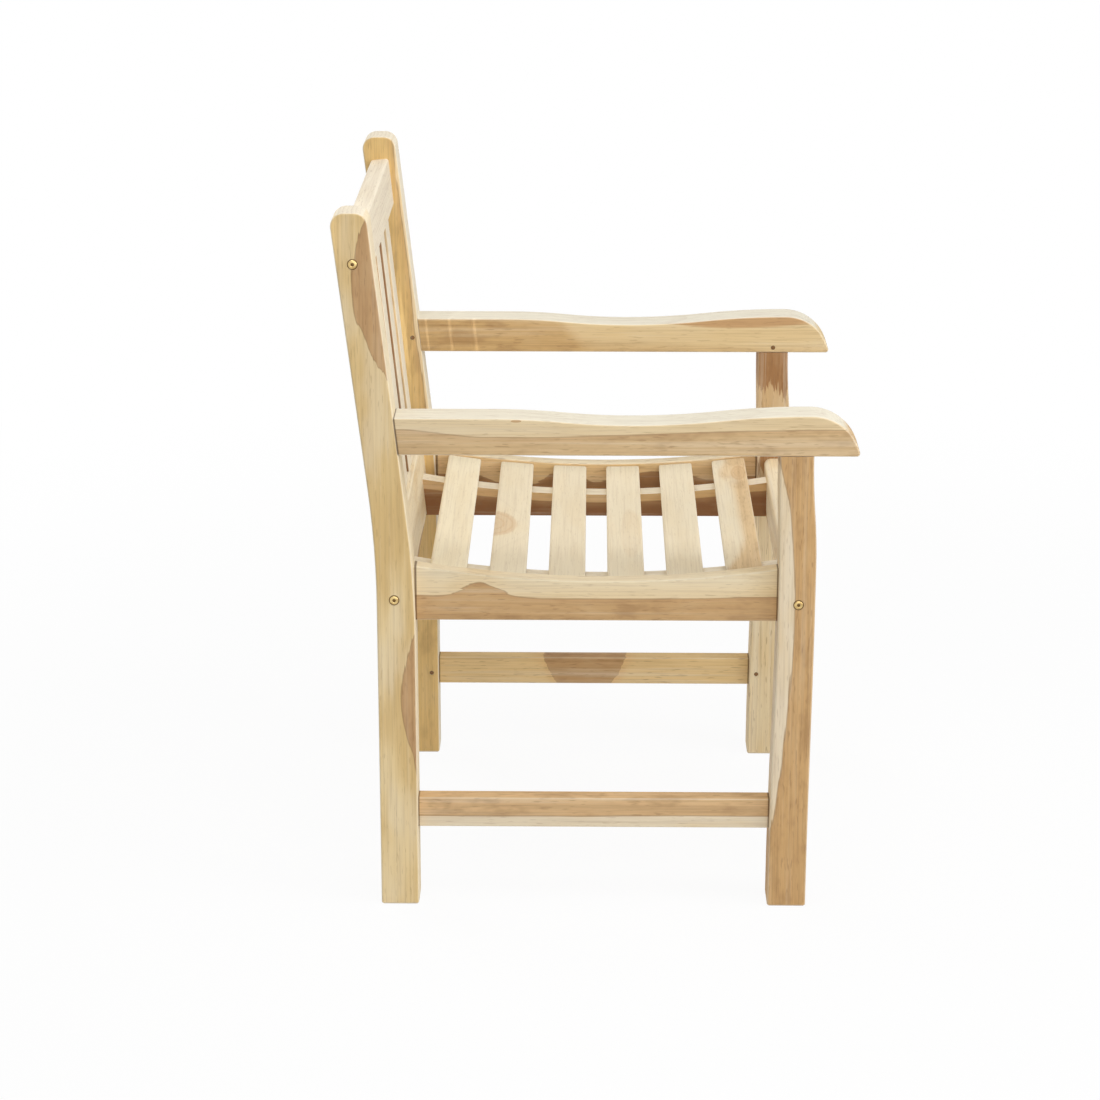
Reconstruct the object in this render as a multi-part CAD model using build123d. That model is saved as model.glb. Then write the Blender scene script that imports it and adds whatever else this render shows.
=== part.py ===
from build123d import *
import os
from math import atan, cos, degrees, hypot, radians, sqrt, tan

# A slatted garden armchair in solid teak. Millimetres, +Z up, the sitter faces -Y, +X is the sitter's left.
# The origin is on the floor, in the middle of the chair's width and depth.

# Overall sizes
overall_width = 594.0  # over the outer faces of the legs
overall_depth = 645.3  # from the tips of the arms to the tops of the back legs
overall_height = 900.0  # floor to the top of the back legs
leg_thickness = 50.0  # of every leg, across the chair
edge_round = 2.5  # sanded long edges of the timber
foot_chamfer = 0.85 * edge_round  # at the bottom of each foot, always less than the rounding

# Back legs: upright to the bend, then leaning back. The front edge bends lower down than the rear one
back_leg_depth = 48.0
back_leg_top_depth = 46.0
back_leg_bend_height = 480.0
back_leg_front_bend_height = 437.0
back_leg_bend_radius = 1300.0
back_leg_lean = 6.85  # degrees
back_leg_top_round = 17.0

# Front legs: bowed a little forwards at the seat
front_leg_depth = 49.0
front_leg_bow = 6.0
front_leg_bow_height = 455.0
front_leg_bow_depth = 46.0
front_leg_top_depth = 42.0
front_leg_top_lead = 3.9  # of the top's rear edge in front of the foot's

# Arms
arm_width = 50.0
arm_underside_height = 598.5
arm_overhang = 53.0  # from the front leg's foot to the tip of the nose
arm_rear_height = 47.0
arm_rear_level = 120.0  # of the top in front of the back leg
arm_dip_height = 39.3
arm_crest_height = 51.5
arm_nose_radius = 62.0
arm_tip_round = 4.0

# Seat frame: side rails with a hollow top, stretchers and the beams that carry the slats
seat_frame_bottom = 381.0  # underside of every piece of the seat frame
seat_rail_thickness = 24.0
seat_rail_front_height = 68.0
seat_rail_back_height = 71.0
seat_dip = 17.5  # depth of the hollow
stretcher_thickness = 25.0
stretcher_height = 40.0
stretcher_bottom = 102.5
bearer_thickness = 30.0
bearer_inset = 40.0  # from the inner face of the legs

# Seat slats
seat_slat_count = 6
seat_slat_width = 46.5
seat_slat_thickness = 18.0
seat_slat_sink = 3.5  # of the slats' tops below the side rails' tops
seat_slat_end_gap = 1.0
seat_back_gap = 33.0  # from the last slat to the lower back rail
seat_slat_round = 3.0

# Cross rails and back slats
front_rail_thickness = 30.0
front_rail_height = 64.0
front_rail_setback = 3.0  # of the rail's front face behind the front leg's foot
front_rail_round = 9.0
back_rail_thickness = 25.0
back_rail_setback = 2.0  # of the back's bolts behind the middle of the legs
lower_back_rail_height = 94.0  # upright, from its underside to its top
top_rail_height = 64.0
top_rail_round = 4.0
back_slat_count = 5
back_slat_width = 50.0
back_slat_thickness = 12.0
back_slat_housing = 12.0  # of each end of a slat in its rail

# Tenons and their pegs
tenon_thickness = 14.0
tenon_length = 18.0
tenon_shoulder = 8.0  # above and below the tenon
arm_tenon_height = 28.0
arm_tenon_length = 22.0
bearer_tenon_length = 12.0
peg_diameter = 6.0
peg_setback = 10.0  # from the leg's edge
arm_peg_setback = 13.0
arm_peg_rise = 7.0  # above the underside of the arm
peg_past_tenon = 4.0
joint_clearance = 0.15  # on each side of a tenon, slat end, peg or dowel
mortise_relief = 0.8  # left at the end of a tenon or dowel

# Connector bolts, barrel nuts and locating dowels
front_bolt_rise = 26.0  # above the underside of the seat frame
lower_back_bolt_rise = 30.0
top_bolt_drop = 63.0  # below the tops of the back legs
bolt_diameter = 6.0
bolt_head_diameter = 13.0
bolt_head_thickness = 2.0
bolt_head_proud = 1.0
bolt_socket_across = 4.0
bolt_socket_depth = 3.0
bolt_hole_clearance = 0.3
bolt_past_nut = 8.0
thread_clearance = 0.05
nut_diameter = 10.0
nut_length = 16.0
nut_setback = 25.0  # from the end of the rail
nut_slot_width = 1.6
nut_slot_depth = 1.5
nut_clearance = 0.1
dowel_diameter = 8.0
dowel_depth = 15.0  # in the leg, and again in the rail
dowel_spacing = 22.0  # above the bolt

# Screws that hold the seat slats
screw_diameter = 4.0
screw_head_diameter = 8.0
screw_head_height = 3.0
screw_grip = 18.0  # of the bearer between the head and the slat
screw_bite = 12.0  # into the slat
screw_clearance = 0.05
screw_pocket_clearance = 0.5

# Places that follow from the sizes
side_names = {1: "left", -1: "right"}
lean_slope = tan(radians(back_leg_lean))
lean_height = overall_height - back_leg_bend_height
rear_round_reach = back_leg_top_round * (1 - 1 / cos(radians(back_leg_lean)))
rear_reach = lean_slope * (lean_height - back_leg_top_round) + rear_round_reach
leg_gap = overall_depth - arm_overhang - front_leg_depth - back_leg_depth - rear_reach  # at the floor
arm_tip_y = -overall_depth / 2
front_leg_front_y = arm_tip_y + arm_overhang
front_leg_back_y = front_leg_front_y + front_leg_depth
front_leg_top_y = front_leg_back_y - front_leg_top_lead
back_leg_front_y = front_leg_back_y + leg_gap
back_leg_rear_y = back_leg_front_y + back_leg_depth
leg_middle_x = (overall_width - leg_thickness) / 2
leg_inner_x = overall_width / 2 - leg_thickness
bearer_middle_x = leg_inner_x - bearer_inset - bearer_thickness / 2
screw_pocket_diameter = screw_head_diameter + 2 * screw_pocket_clearance


def back_leg_rear_at(height):
    """Y of the back legs' rear edge at a height."""
    return back_leg_rear_y + lean_slope * max(0, height - back_leg_bend_height)


def back_leg_front_at(height):
    """Y of the back legs' front edge at a height."""
    top = back_leg_rear_at(overall_height) - back_leg_top_depth
    share = max(0, height - back_leg_front_bend_height) / (overall_height - back_leg_front_bend_height)
    return back_leg_front_y + (top - back_leg_front_y) * share


def back_leg_middle_at(height):
    """Y of the back legs' middle at a height."""
    return (back_leg_front_at(height) + back_leg_rear_at(height)) / 2


# Heights of the rails and of the bolts through them
seat_rail_front_top = seat_frame_bottom + seat_rail_front_height
seat_rail_back_top = seat_frame_bottom + seat_rail_back_height
front_bolt_height = seat_frame_bottom + front_bolt_rise
lower_back_bolt_height = seat_frame_bottom + lower_back_bolt_rise
top_bolt_height = overall_height - top_bolt_drop

# The hollow of the seat is an arc between the legs, over a chord from the front to the back
chord_rise = seat_rail_back_top - seat_rail_front_top
chord_length = hypot(leg_gap, chord_rise)
chord_middle_y = (front_leg_back_y + back_leg_front_y) / 2
chord_middle_z = (seat_rail_front_top + seat_rail_back_top) / 2
seat_radius = (chord_length**2 / 4 + seat_dip**2) / (2 * seat_dip)
chord_distance = seat_radius - seat_dip  # from the arc's centre
seat_arc_y = chord_middle_y - chord_distance * chord_rise / chord_length
seat_arc_z = chord_middle_z + chord_distance * leg_gap / chord_length


def seat_height_at(y, drop):
    """Height of the seat's arc at y, lowered by drop."""
    return seat_arc_z - sqrt((seat_radius + drop) ** 2 - (y - seat_arc_y) ** 2)


# Each cross rail has its own frame: X along the rail, Y up it, Z towards the front, the bolt at height zero.
# The back leans with the middle of the legs, from the lower bolt to the upper one
along = (1, 0, 0)
front_bolt_y = front_leg_front_y + front_rail_setback + front_rail_thickness / 2
lower_back_bolt_y = back_leg_middle_at(lower_back_bolt_height) + back_rail_setback
top_bolt_y = back_leg_middle_at(top_bolt_height) + back_rail_setback
back_rise = Vector(0, top_bolt_y - lower_back_bolt_y, top_bolt_height - lower_back_bolt_height)
back_stretch = back_rise.length / back_rise.Z  # length along the back for each millimetre of height
back_facing = (0, -back_rise.Z, back_rise.Y)
front_frame = Plane((0, front_bolt_y, front_bolt_height), along, (0, -1, 0))
back_frame = Plane((0, lower_back_bolt_y, lower_back_bolt_height), along, back_facing)
top_frame = Plane((0, top_bolt_y, top_bolt_height), along, back_facing)
rail_frames = {"front_rail": front_frame, "lower_back_rail": back_frame, "top_rail": top_frame}

# Bottom and top of each cross rail in its own frame
front_rail_span = (-front_bolt_rise, front_rail_height - front_bolt_rise)
lower_back_rail_span = (
    -lower_back_bolt_rise * back_stretch,
    (lower_back_rail_height - lower_back_bolt_rise) * back_stretch,
)
top_rail_span = (-top_rail_height / 2, top_rail_height / 2)

# Bottom and top of the side rails at each leg
stretcher_span = (stretcher_bottom, stretcher_bottom + stretcher_height)
side_rail_spans = {
    "seat_rail": {
        "front": (seat_frame_bottom, seat_rail_front_top),
        "back": (seat_frame_bottom, seat_rail_back_top),
    },
    "stretcher": {"front": stretcher_span, "back": stretcher_span},
}


# Simple solids
def block(x_span, y_span, z_span):
    """A box between two values on each axis, given in any order."""
    spans = (x_span, y_span, z_span)
    middle = [sum(span) / 2 for span in spans]
    size = [abs(span[1] - span[0]) for span in spans]
    return Pos(*middle) * Box(*size)


def rod(diameter, start_x, end_x, y, z):
    """A round bar along X between two values of x."""
    return Pos((start_x + end_x) / 2, y, z) * Rot(0, 90, 0) * Cylinder(diameter / 2, abs(end_x - start_x))


def upright_rod(diameter, x, y, bottom, top):
    """A round bar along Z between two heights."""
    return Pos(x, y, (bottom + top) / 2) * Cylinder(diameter / 2, top - bottom)


def board(outline, middle_x, thickness):
    """A board of that thickness across the chair, from an outline in Y and Z."""
    return extrude(Plane.YZ.offset(middle_x - thickness / 2) * outline, thickness)


def rounded_board(outline, middle_x, thickness, end_axis):
    """A board with its long edges sanded round. The edges along the end axis stay square."""
    edges = board(outline, middle_x, thickness).faces().filter_by(Axis.X).edges()
    return fillet(edges - edges.filter_by(end_axis), edge_round)


def rounded_leg(outline, middle_x):
    """A leg with its long edges sanded round and its foot chamfered."""
    leg = rounded_board(outline, middle_x, leg_thickness, Axis.Y)
    return chamfer(leg.faces().sort_by(Axis.Z)[0].edges(), foot_chamfer)


# Outlines of the timber in Y and Z
def back_leg_outline():
    corners = [
        (back_leg_front_y, 0),
        (back_leg_front_y, back_leg_front_bend_height),
        (back_leg_front_at(overall_height), overall_height),
        (back_leg_rear_at(overall_height), overall_height),
        (back_leg_rear_y, back_leg_bend_height),
        (back_leg_rear_y, 0),
    ]
    outline = make_face(Polyline(*corners, close=True))
    outline = fillet(outline.vertices().group_by(Axis.Y)[-1], back_leg_top_round)
    past_bends = (max(back_leg_bend_height, back_leg_front_bend_height) + overall_height) / 2
    bends = outline.vertices().filter_by_position(Axis.Y, edge_round, past_bends)
    return fillet(bends, back_leg_bend_radius)


def s_curve(start, end, heading):
    """Two equal arcs from start to end, tangent to the heading at both ends."""
    middle = (Vector(*start) + Vector(*end)) / 2
    first = TangentArc(start, middle, tangent=heading)
    return [first, TangentArc(middle, end, tangent=first % 1)]


def front_leg_outline():
    upwards = (0, 1)
    bow_y = front_leg_back_y - front_leg_bow
    rear = [
        (front_leg_back_y, 0),
        (bow_y, front_leg_bow_height),
        (front_leg_top_y, arm_underside_height),
    ]
    front = [
        (front_leg_front_y, 0),
        (bow_y - front_leg_bow_depth, front_leg_bow_height),
        (front_leg_top_y - front_leg_top_depth, arm_underside_height),
    ]
    edges = [Line(front[0], rear[0]), Line(front[-1], rear[-1])]
    for low, bow, high in (rear, front):
        edges += s_curve(low, bow, upwards) + s_curve(bow, high, upwards)
    return make_face(edges)


def arm_outline():
    """The nose is an arc down to a small rounded tip. The top dips between the crest and the back leg."""
    backwards = (1, 0)
    underside = arm_underside_height
    rear_y = back_leg_middle_at(underside)
    post_y = back_leg_front_at(underside)
    tip_y = arm_tip_y + arm_tip_round
    tip_z = underside + arm_tip_round
    nose_z = underside + arm_crest_height - arm_nose_radius
    crest_y = tip_y + sqrt((arm_nose_radius - arm_tip_round) ** 2 - (tip_z - nose_z) ** 2)
    turn = degrees(atan((tip_z - nose_z) / (crest_y - tip_y)))
    crest = (crest_y, underside + arm_crest_height)
    dip = ((arm_tip_y + post_y) / 2, underside + arm_dip_height)
    level = (post_y - arm_rear_level, underside + arm_rear_height)
    rear = (rear_y, underside + arm_rear_height)
    tip_arc = CenterArc((tip_y, tip_z), arm_tip_round, 180 - turn, 90 + turn)
    nose_arc = CenterArc((crest_y, nose_z), arm_nose_radius, 90, 90 - turn)
    top_edges = s_curve(crest, dip, backwards) + s_curve(dip, level, backwards)
    straight_edges = Polyline(level, rear, (rear_y, underside), (tip_y, underside)).edges()
    return make_face([tip_arc, nose_arc, *top_edges, *straight_edges])


def hollow_outline(front_y, back_y, bottom, drop):
    """A board on edge, flat below, whose top follows the seat's arc lowered by drop."""
    middle_y = (front_y + back_y) / 2
    top = [(y, seat_height_at(y, drop)) for y in (back_y, middle_y, front_y)]
    sides = Polyline(top[2], (front_y, bottom), (back_y, bottom), top[0])
    return make_face([ThreePointArc(*top), *sides.edges()])


def straight_outline(front_y, back_y, span):
    corners = [(front_y, span[0]), (back_y, span[0]), (back_y, span[1]), (front_y, span[1])]
    return make_face(Polyline(*corners, close=True))


# The side rails run to the legs' middles and are then cut back to the legs' outlines
leg_outlines = {"front": front_leg_outline(), "back": back_leg_outline()}
rail_ends = ((front_leg_front_y + front_leg_back_y) / 2, (back_leg_front_y + back_leg_rear_y) / 2)


def between_legs(outline, side, thickness):
    """A rail from the front leg to the back leg of one side, butting against both."""
    rail = rounded_board(outline, side * leg_middle_x, thickness, Axis.Z)
    for leg_outline in leg_outlines.values():
        rail -= board(leg_outline, side * leg_middle_x, leg_thickness)
    return rail


def leg_edge_y(leg, height):
    """Y of the edge of a leg that faces the other leg of its side, at a height."""
    if leg == "back":
        return back_leg_front_at(height)
    level = Plane.XY.offset(height) * Rectangle(2 * overall_width, 2 * overall_depth)
    return (level & board(leg_outlines["front"], leg_middle_x, leg_thickness)).bounding_box().max.Y


# Tenons, each as long again on the near side of the joint so that it runs well into its own timber
def tenon_span(middle, grow):
    return (middle - tenon_thickness / 2 - grow, middle + tenon_thickness / 2 + grow)


def rail_tenon(side, leg, span, grow, relief):
    """A side rail's tenon in a leg. With grow and relief it is the mortise."""
    edge_y = leg_edge_y(leg, sum(span) / 2)
    inwards = 1 if leg == "back" else -1
    y_span = (edge_y - inwards * tenon_length, edge_y + inwards * (tenon_length + relief))
    z_span = (span[0] + tenon_shoulder - grow, span[1] - tenon_shoulder + grow)
    return block(tenon_span(side * leg_middle_x, grow), y_span, z_span)


leg_top_middle_y = front_leg_top_y - front_leg_top_depth / 2
arm_tenon_bottom = arm_underside_height + tenon_shoulder
arm_tenon_top = arm_underside_height + arm_dip_height - tenon_shoulder
arm_post_y = back_leg_front_at(arm_underside_height)


def leg_top_tenon(side, grow):
    """The front leg's tenon up into the arm."""
    reach = front_leg_top_depth / 2 - tenon_shoulder + grow
    y_span = (leg_top_middle_y - reach, leg_top_middle_y + reach)
    z_span = (arm_underside_height - tenon_length, arm_underside_height + arm_tenon_height + grow)
    return block(tenon_span(side * leg_middle_x, grow), y_span, z_span)


def arm_tenon(side, grow):
    """The arm's tenon in the back leg."""
    y_span = (arm_post_y - arm_tenon_length, arm_post_y + arm_tenon_length + grow)
    z_span = (arm_tenon_bottom - grow, arm_tenon_top + grow)
    return block(tenon_span(side * leg_middle_x, grow), y_span, z_span)


def peg_and_hole(side, thickness, y, z):
    """A peg from the inner face of a timber to just past the tenon, and the hole for it."""
    inner_x = side * (leg_middle_x - thickness / 2)
    end_x = side * (leg_middle_x + tenon_thickness / 2 + peg_past_tenon)
    hole = rod(peg_diameter + 2 * joint_clearance, inner_x, end_x, y, z)
    return rod(peg_diameter, inner_x, end_x, y, z), hole


# Cross rails with the holes for their bolts, nuts and dowels
bolt_hole_diameter = bolt_diameter + 2 * bolt_hole_clearance
dowel_hole_diameter = dowel_diameter + 2 * joint_clearance
head_outer_x = overall_width / 2 + bolt_head_proud
head_inner_x = head_outer_x - bolt_head_thickness
nut_x = leg_inner_x - nut_setback
bolt_tip_x = nut_x - bolt_past_nut


def cross_rail_blank(span, thickness):
    return block((-leg_inner_x, leg_inner_x), span, (-thickness / 2, thickness / 2))


def cross_rail(span, thickness, top_round):
    """A cross rail in its own frame. The nuts' holes are open at its rear face."""
    rail = cross_rail_blank(span, thickness)
    rail = fillet(rail.edges().filter_by(Axis.X).group_by(Axis.Y)[-1], top_round)
    rail = fillet(rail.edges().filter_by(Axis.X).group_by(Axis.Y)[0], edge_round)
    dowel_end = leg_inner_x - dowel_depth - mortise_relief
    nut_hole_front = nut_length / 2 + nut_clearance
    nut_hole_length = thickness / 2 + nut_hole_front
    nut_hole = Cylinder(nut_diameter / 2 + nut_clearance, nut_hole_length)
    for side in side_names:
        end_x = side * leg_inner_x
        rail -= rod(bolt_hole_diameter, side * (bolt_tip_x - mortise_relief), end_x, 0, 0)
        rail -= rod(dowel_hole_diameter, side * dowel_end, end_x, dowel_spacing, 0)
        rail -= Pos(side * nut_x, 0, nut_hole_front - nut_hole_length / 2) * nut_hole
    return rail


def barrel_nut(side):
    """A barrel nut in a cross rail's frame, with its cross hole and its screwdriver slot."""
    nut = Cylinder(nut_diameter / 2, nut_length)
    nut -= rod(bolt_diameter + 2 * thread_clearance, -nut_diameter, nut_diameter, 0, 0)
    slot_end = -nut_length / 2 + nut_slot_depth
    slot_side = nut_slot_width / 2
    nut -= block((-nut_diameter, nut_diameter), (-slot_side, slot_side), (-nut_length, slot_end))
    return Pos(side * nut_x, 0, 0) * nut


def connector_bolt(side, y, z):
    """A bolt through a leg into its nut, with a hexagon socket in its low round head."""
    head = rod(bolt_head_diameter, side * head_inner_x, side * head_outer_x, y, z)
    rim = head.edges().filter_by(GeomType.CIRCLE).sort_by(Axis.X)[-1 if side > 0 else 0]
    head = fillet(rim, bolt_head_thickness / 3)
    bolt = head + rod(bolt_diameter, side * bolt_tip_x, side * head_inner_x, y, z)
    socket = Plane.YZ * RegularPolygon(bolt_socket_across / 2, 6, major_radius=False)
    socket_start = min(side * head_outer_x, side * (head_outer_x - bolt_socket_depth))
    return bolt - Pos(socket_start, y, z) * extrude(socket, bolt_socket_depth)


def leg_bolt_holes(side, bolt, dowel):
    """The bolt's hole, the seat of its head and the dowel's hole in a leg."""
    outer_x = side * overall_width / 2
    inner_x = side * leg_inner_x
    dowel_end = side * (leg_inner_x + dowel_depth + mortise_relief)
    holes = rod(bolt_hole_diameter, inner_x, outer_x, bolt.Y, bolt.Z)
    holes += rod(bolt_head_diameter + 2 * bolt_hole_clearance, side * head_inner_x, outer_x, bolt.Y, bolt.Z)
    return holes + rod(dowel_hole_diameter, inner_x, dowel_end, dowel.Y, dowel.Z)


nodes = {}

# Cross rails, before the slats and bearers are let into them
nodes["front_rail"] = front_frame * cross_rail(front_rail_span, front_rail_thickness, front_rail_round)
nodes["lower_back_rail"] = back_frame * cross_rail(lower_back_rail_span, back_rail_thickness, edge_round)
nodes["top_rail"] = top_frame * cross_rail(top_rail_span, back_rail_thickness, top_rail_round)

# Back slats, upright between the back rails and housed in both
back_slat_gap = (2 * leg_inner_x - back_slat_count * back_slat_width) / (back_slat_count + 1)
slat_bottom = lower_back_rail_span[1] - back_slat_housing
slat_top = back_rise.length + top_rail_span[0] + back_slat_housing


def back_slat(middle_x, grow):
    half_width = back_slat_width / 2 + grow
    half_thickness = back_slat_thickness / 2 + grow
    slat = block(
        (middle_x - half_width, middle_x + half_width),
        (slat_bottom - grow, slat_top + grow),
        (-half_thickness, half_thickness),
    )
    return back_frame * fillet(slat.edges().filter_by(Axis.Y), edge_round)


for number in range(back_slat_count):
    offset = back_slat_gap + back_slat_width / 2 + number * (back_slat_width + back_slat_gap)
    nodes[f"back_slat_{number + 1}"] = back_slat(offset - leg_inner_x, 0)
    for rail in ("lower_back_rail", "top_rail"):
        nodes[rail] -= back_slat(offset - leg_inner_x, joint_clearance)

# Seat slats, evenly spaced from the front rail, tilted with the seat's arc
seat_front_y = front_bolt_y + front_rail_thickness / 2
seat_back_y = back_frame.from_local_coords(Vector(0, dowel_spacing, back_rail_thickness / 2)).Y
seat_slat_gap = (seat_back_y - seat_back_gap - seat_front_y) / seat_slat_count - seat_slat_width
seat_slat_reach = leg_middle_x - seat_rail_thickness / 2 - seat_slat_end_gap
slat_frames = {}
for number in range(seat_slat_count):
    name = f"seat_slat_{number + 1}"
    slat_y = seat_front_y + seat_slat_gap + seat_slat_width / 2 + number * (seat_slat_width + seat_slat_gap)
    slat_z = seat_height_at(slat_y, seat_slat_sink)
    slat_frames[name] = Plane((0, slat_y, slat_z), along, (0, seat_arc_y - slat_y, seat_arc_z - slat_z))
    slat = block(
        (-seat_slat_reach, seat_slat_reach),
        (-seat_slat_width / 2, seat_slat_width / 2),
        (-seat_slat_thickness, 0),
    )
    nodes[name] = slat_frames[name] * fillet(slat.edges().filter_by(Axis.X), seat_slat_round)

# Bearers under the seat slats, stub tenoned in the front rail and the lower back rail
bearer_drop = seat_slat_sink + seat_slat_thickness
bearer_tenon_height = seat_frame_bottom + tenon_shoulder + tenon_thickness / 2
bearer_back_y = back_frame.from_local_coords(Vector(0, 0, back_rail_thickness / 2)).Y


def bearer_tenons(middle_x, grow):
    """The bearer's two stub tenons as one square bar, long enough for both rails."""
    y_span = (seat_front_y - bearer_tenon_length - grow, bearer_back_y + bearer_tenon_length + grow)
    return block(tenon_span(middle_x, grow), y_span, tenon_span(bearer_tenon_height, grow))


screws = []
for side, side_name in side_names.items():
    middle_x = side * bearer_middle_x
    outline = hollow_outline(front_bolt_y, lower_back_bolt_y, seat_frame_bottom, bearer_drop)
    bearer = board(outline, middle_x, bearer_thickness)
    bearer -= front_frame * cross_rail_blank(front_rail_span, front_rail_thickness)
    bearer -= back_frame * cross_rail_blank(lower_back_rail_span, back_rail_thickness)
    bearer += bearer_tenons(middle_x, 0)
    for rail in ("front_rail", "lower_back_rail"):
        nodes[rail] -= bearer_tenons(middle_x, joint_clearance)

    # The slats lie in shallow flats on the bearer. Each is screwed from below, the head deep in a pocket
    for name, slat_frame in slat_frames.items():
        bearer -= nodes[name]
        flat = slat_frame.from_local_coords(Vector(0, 0, -seat_slat_thickness))
        place = (middle_x, flat.Y)
        head_z = flat.Z - screw_grip
        tip_z = flat.Z + screw_bite
        hole = upright_rod(screw_diameter + 2 * screw_clearance, *place, head_z, tip_z + screw_clearance)
        pocket = upright_rod(screw_pocket_diameter, *place, seat_frame_bottom, head_z)
        bearer -= hole + pocket
        nodes[name] -= hole
        head = upright_rod(screw_head_diameter, *place, head_z - screw_head_height, head_z)
        screws.append(head + upright_rod(screw_diameter, *place, head_z, tip_z))
    nodes[f"{side_name}_seat_bearer"] = bearer

# Side frames: the legs, seat rail, stretcher and arm of each side, tenoned and pegged
pegs = []
bolts = []
nuts = []
dowels = []
for side, side_name in side_names.items():
    middle_x = side * leg_middle_x
    legs = {leg: rounded_leg(outline, middle_x) for leg, outline in leg_outlines.items()}
    seat_rail_outline = hollow_outline(*rail_ends, seat_frame_bottom, 0)
    stretcher_outline = straight_outline(*rail_ends, stretcher_span)
    rails = {
        "seat_rail": between_legs(seat_rail_outline, side, seat_rail_thickness),
        "stretcher": between_legs(stretcher_outline, side, stretcher_thickness),
    }
    for rail, spans in side_rail_spans.items():
        for leg, span in spans.items():
            height = sum(span) / 2
            peg_y = leg_edge_y(leg, height) + (peg_setback if leg == "back" else -peg_setback)
            peg, peg_hole = peg_and_hole(side, leg_thickness, peg_y, height)
            rails[rail] = rails[rail] + rail_tenon(side, leg, span, 0, 0) - peg_hole
            legs[leg] = legs[leg] - rail_tenon(side, leg, span, joint_clearance, mortise_relief) - peg_hole
            pegs.append(peg)
        nodes[f"{side_name}_{rail}"] = rails[rail]

    # The arm sits on the front leg's tenon, and its own tenon goes into the back leg
    arm = rounded_board(arm_outline(), middle_x, arm_width, Axis.Z)
    arm -= board(leg_outlines["back"], middle_x, leg_thickness + arm_width)
    arm = arm - leg_top_tenon(side, joint_clearance) + arm_tenon(side, 0)
    legs["front"] += leg_top_tenon(side, 0)
    legs["back"] -= arm_tenon(side, joint_clearance)
    front_peg = (arm_width, leg_top_middle_y, arm_underside_height + arm_peg_rise)
    back_peg = (leg_thickness, arm_post_y + arm_peg_setback, (arm_tenon_bottom + arm_tenon_top) / 2)
    for leg, place in (("front", front_peg), ("back", back_peg)):
        peg, peg_hole = peg_and_hole(side, *place)
        arm -= peg_hole
        legs[leg] -= peg_hole
        pegs.append(peg)
    nodes[f"{side_name}_arm"] = arm

    # Bolts, nuts and dowels of the cross rails
    for rail, frame in rail_frames.items():
        leg = "front" if rail == "front_rail" else "back"
        dowel = frame.from_local_coords(Vector(0, dowel_spacing, 0))
        legs[leg] -= leg_bolt_holes(side, frame.origin, dowel)
        bolts.append(connector_bolt(side, frame.origin.Y, frame.origin.Z))
        nuts.append(frame * barrel_nut(side))
        dowel_ends = (side * (leg_inner_x - dowel_depth), side * (leg_inner_x + dowel_depth))
        dowels.append(rod(dowel_diameter, *dowel_ends, dowel.Y, dowel.Z))
    for leg, solid in legs.items():
        nodes[f"{side_name}_{leg}_leg"] = solid

# Fasteners that are alike, as one group of separate solids each
nodes["joint_pegs"] = Compound(children=pegs)
nodes["connector_bolts"] = Compound(children=bolts)
nodes["barrel_nuts"] = Compound(children=nuts)
nodes["locating_dowels"] = Compound(children=dowels)
nodes["slat_screws"] = Compound(children=screws)

os.makedirs("parts", exist_ok=True)
for name, node in nodes.items():
    export_step(node, f"parts/{name}.step")
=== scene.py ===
import math

import bmesh
import bpy
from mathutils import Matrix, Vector


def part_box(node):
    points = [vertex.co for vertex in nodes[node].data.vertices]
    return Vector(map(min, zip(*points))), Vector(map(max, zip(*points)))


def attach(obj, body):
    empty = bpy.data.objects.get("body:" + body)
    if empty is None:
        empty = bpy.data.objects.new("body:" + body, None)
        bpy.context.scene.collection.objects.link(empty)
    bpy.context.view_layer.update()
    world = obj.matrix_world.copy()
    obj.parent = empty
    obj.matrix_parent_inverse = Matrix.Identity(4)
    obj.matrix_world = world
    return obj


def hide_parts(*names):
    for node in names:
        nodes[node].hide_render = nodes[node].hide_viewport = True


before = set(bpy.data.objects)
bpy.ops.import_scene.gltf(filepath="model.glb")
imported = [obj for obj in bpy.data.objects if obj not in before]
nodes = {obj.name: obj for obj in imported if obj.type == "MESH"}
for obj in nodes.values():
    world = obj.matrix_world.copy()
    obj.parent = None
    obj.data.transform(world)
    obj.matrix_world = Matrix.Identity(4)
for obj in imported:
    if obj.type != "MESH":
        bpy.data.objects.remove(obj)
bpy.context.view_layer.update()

bpy.context.scene.view_settings.view_transform = "Standard"


# Back legs
# Each is one bent board of unfinished teak, from the foot to the rounded top of the back post.
# The board is sawn from a straight log, so the brown heartwood comes and goes at the edges of the bend.

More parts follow.
